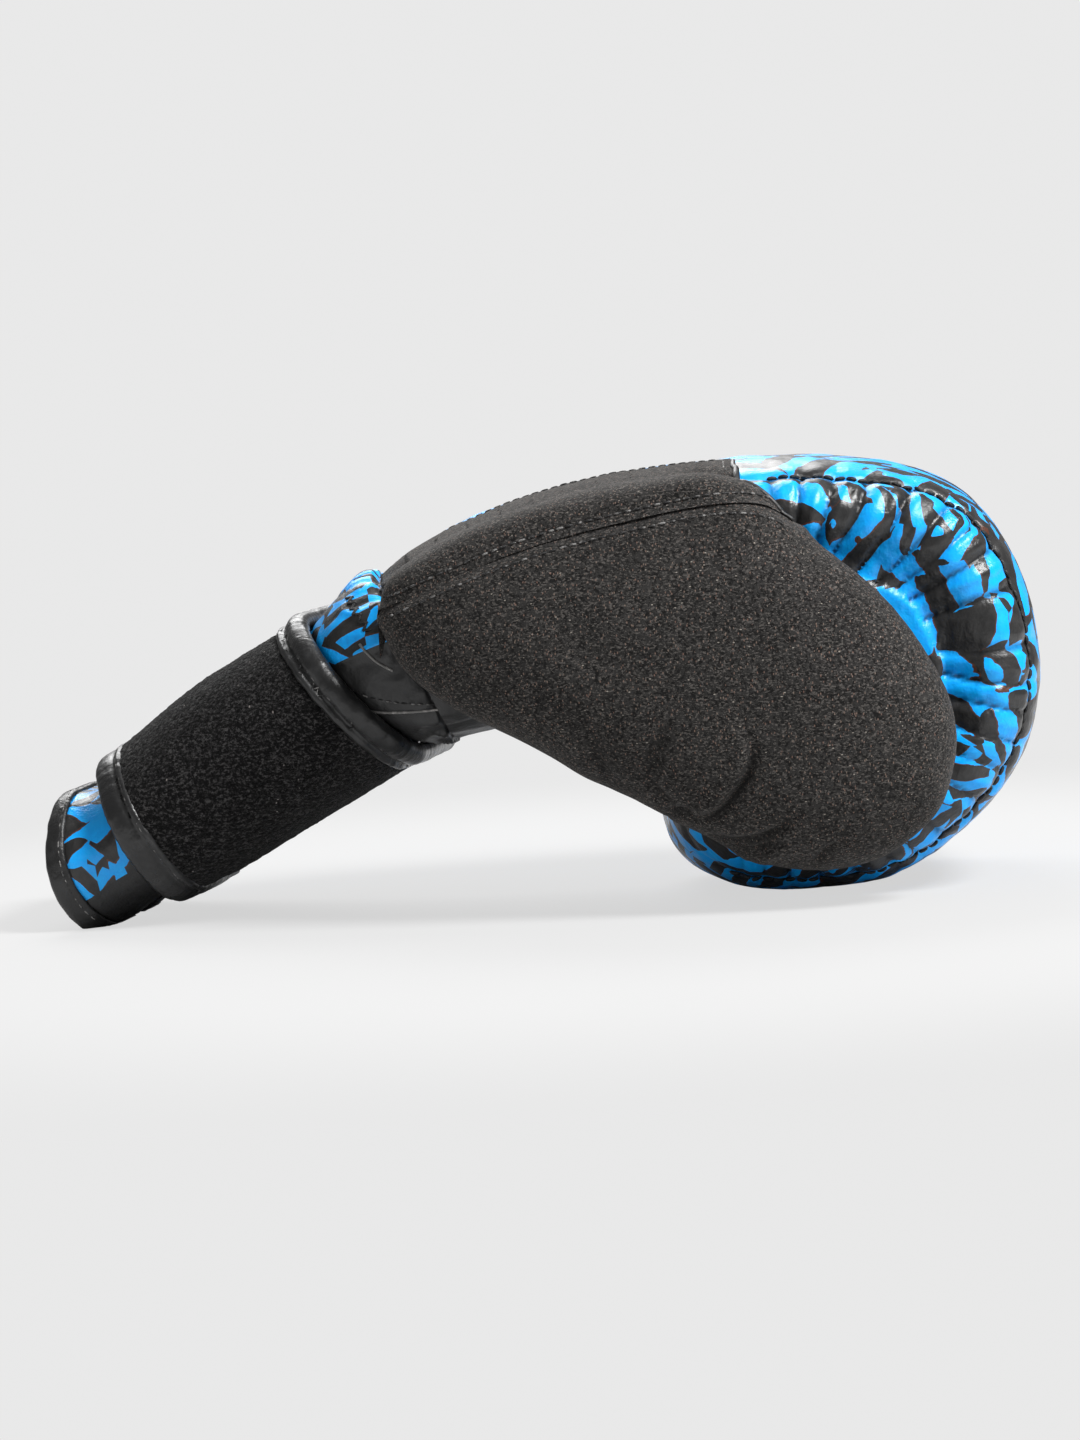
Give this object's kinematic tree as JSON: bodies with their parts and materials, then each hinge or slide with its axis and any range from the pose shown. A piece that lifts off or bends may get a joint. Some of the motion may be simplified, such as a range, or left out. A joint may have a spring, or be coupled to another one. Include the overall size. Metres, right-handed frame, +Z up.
{
  "type": "boxing glove",
  "caption": "Left-hand closed-fist training glove with padded mitt, suede-faced thumb pocket and long cuff closed by a wide hook-and-loop strap.",
  "frame": {"origin": "centre of the glove's box, on the table it stands on", "axes": "+X from the cuff to the knuckles, the longest extent; +Y towards the little finger; +Z up, towards the back of the hand"},
  "size_m": [0.3038, 0.1512, 0.1311],
  "materials": {
    "printed_leather": "semi-gloss coated cloth with a blue abstract print",
    "black_leather": "semi-gloss black coated cloth",
    "suede": "dark microsuede with pale flecks",
    "foam": "soft closed-cell foam, sealed inside the covers",
    "grip_foam": "firm foam bar",
    "lining_cloth": "smooth woven lining",
    "edge_tape": "black coated binding tape",
    "elastic": "ribbed elastic",
    "loop_pile": "fuzzy loop pile",
    "hook_pile": "hook tape"
  },
  "bodies": {
    "hand": {"back_cover": "printed_leather", "palm_cover": "black_leather", "thumb_side_hand_cover": "printed_leather", "little_side_hand_cover": "printed_leather", "thumb_side_hand_foam": "foam", "little_side_hand_foam": "foam", "back_foam": "foam", "palm_foam": "foam", "hand_lining": "lining_cloth", "saddle_cover": "suede", "saddle_foam": "foam", "neck_back_cover": "printed_leather", "neck_palm_cover": "black_leather", "neck_lining": "lining_cloth"},
    "fingers": {"fist_cover": "printed_leather", "finger_grip_cover": "black_leather", "thumb_side_fist_cover": "printed_leather", "little_side_fist_cover": "printed_leather", "thumb_side_fist_foam": "foam", "little_side_fist_foam": "foam", "fist_foam": "foam", "finger_grip_foam": "foam", "finger_lining": "lining_cloth", "grip_bar": "grip_foam"},
    "thumb": {"thumb_cover": "suede", "thumb_inner_cover": "suede", "thumb_outer_foam": "foam", "thumb_inner_foam": "foam", "thumb_lining": "lining_cloth"},
    "cuff": {"cuff_back_cover": "printed_leather", "cuff_palm_cover": "black_leather", "cuff_foam": "foam", "cuff_lining": "lining_cloth", "cuff_rim_tape": "edge_tape", "cuff_gusset": "elastic", "loop_panel": "loop_pile"},
    "strap_palm": {"strap_palm_web": "black_leather", "strap_palm_pile": "loop_pile", "strap_palm_front_tape": "edge_tape", "strap_palm_rear_tape": "edge_tape"},
    "strap_side": {"strap_side_web": "black_leather", "strap_side_pile": "loop_pile", "strap_side_front_tape": "edge_tape", "strap_side_rear_tape": "edge_tape"},
    "strap_end": {"strap_end_web": "black_leather", "strap_end_pile": "loop_pile", "strap_end_front_tape": "edge_tape", "strap_end_rear_tape": "edge_tape", "hook_pad": "hook_pile"}
  },
  "joints": [
    {"name": "finger_curl", "type": "hinge", "parent": "hand", "child": "fingers", "pos_m": [0.12063, 0.01423, 0.1215], "axis": [0, -1, 0], "range_deg": [-1.5, 12], "stiffness_Nm_per_rad": 5},
    {"name": "thumb_swing", "type": "hinge", "parent": "hand", "child": "thumb", "pos_m": [0.01675, -0.06477, 0.1033], "axis": [-0.9836, 0.098, -0.1512], "range_deg": [0, 9], "stiffness_Nm_per_rad": 2},
    {"name": "wrist_flex", "type": "hinge", "parent": "hand", "child": "cuff", "pos_m": [-0.03875, 0.01499, 0.073], "axis": [0, 1, 0], "range_deg": [-4, 17], "stiffness_Nm_per_rad": 6, "deforming": ["neck_back_cover", "neck_palm_cover", "neck_lining"]},
    {"name": "strap_palm_hinge", "type": "hinge", "parent": "cuff", "child": "strap_palm", "pos_m": [-0.06404, 0.03976, 0.03214], "axis": [0.8689, -0.1532, 0.4708], "range_deg": [0, 25]},
    {"name": "strap_side_hinge", "type": "hinge", "parent": "strap_palm", "child": "strap_side", "pos_m": [-0.06935, -0.00094, 0.0287], "axis": [0.8689, -0.1532, 0.4708], "range_deg": [0, 100]},
    {"name": "strap_end_hinge", "type": "hinge", "parent": "strap_side", "child": "strap_end", "pos_m": [-0.09457, 0.00351, 0.07669], "axis": [0.8689, -0.1532, 0.4708], "range_deg": [0, 150]}
  ],
  "couplings": [
    {"joint": "strap_palm_hinge", "follows": "strap_side_hinge", "ratio": 0.25}
  ]
}
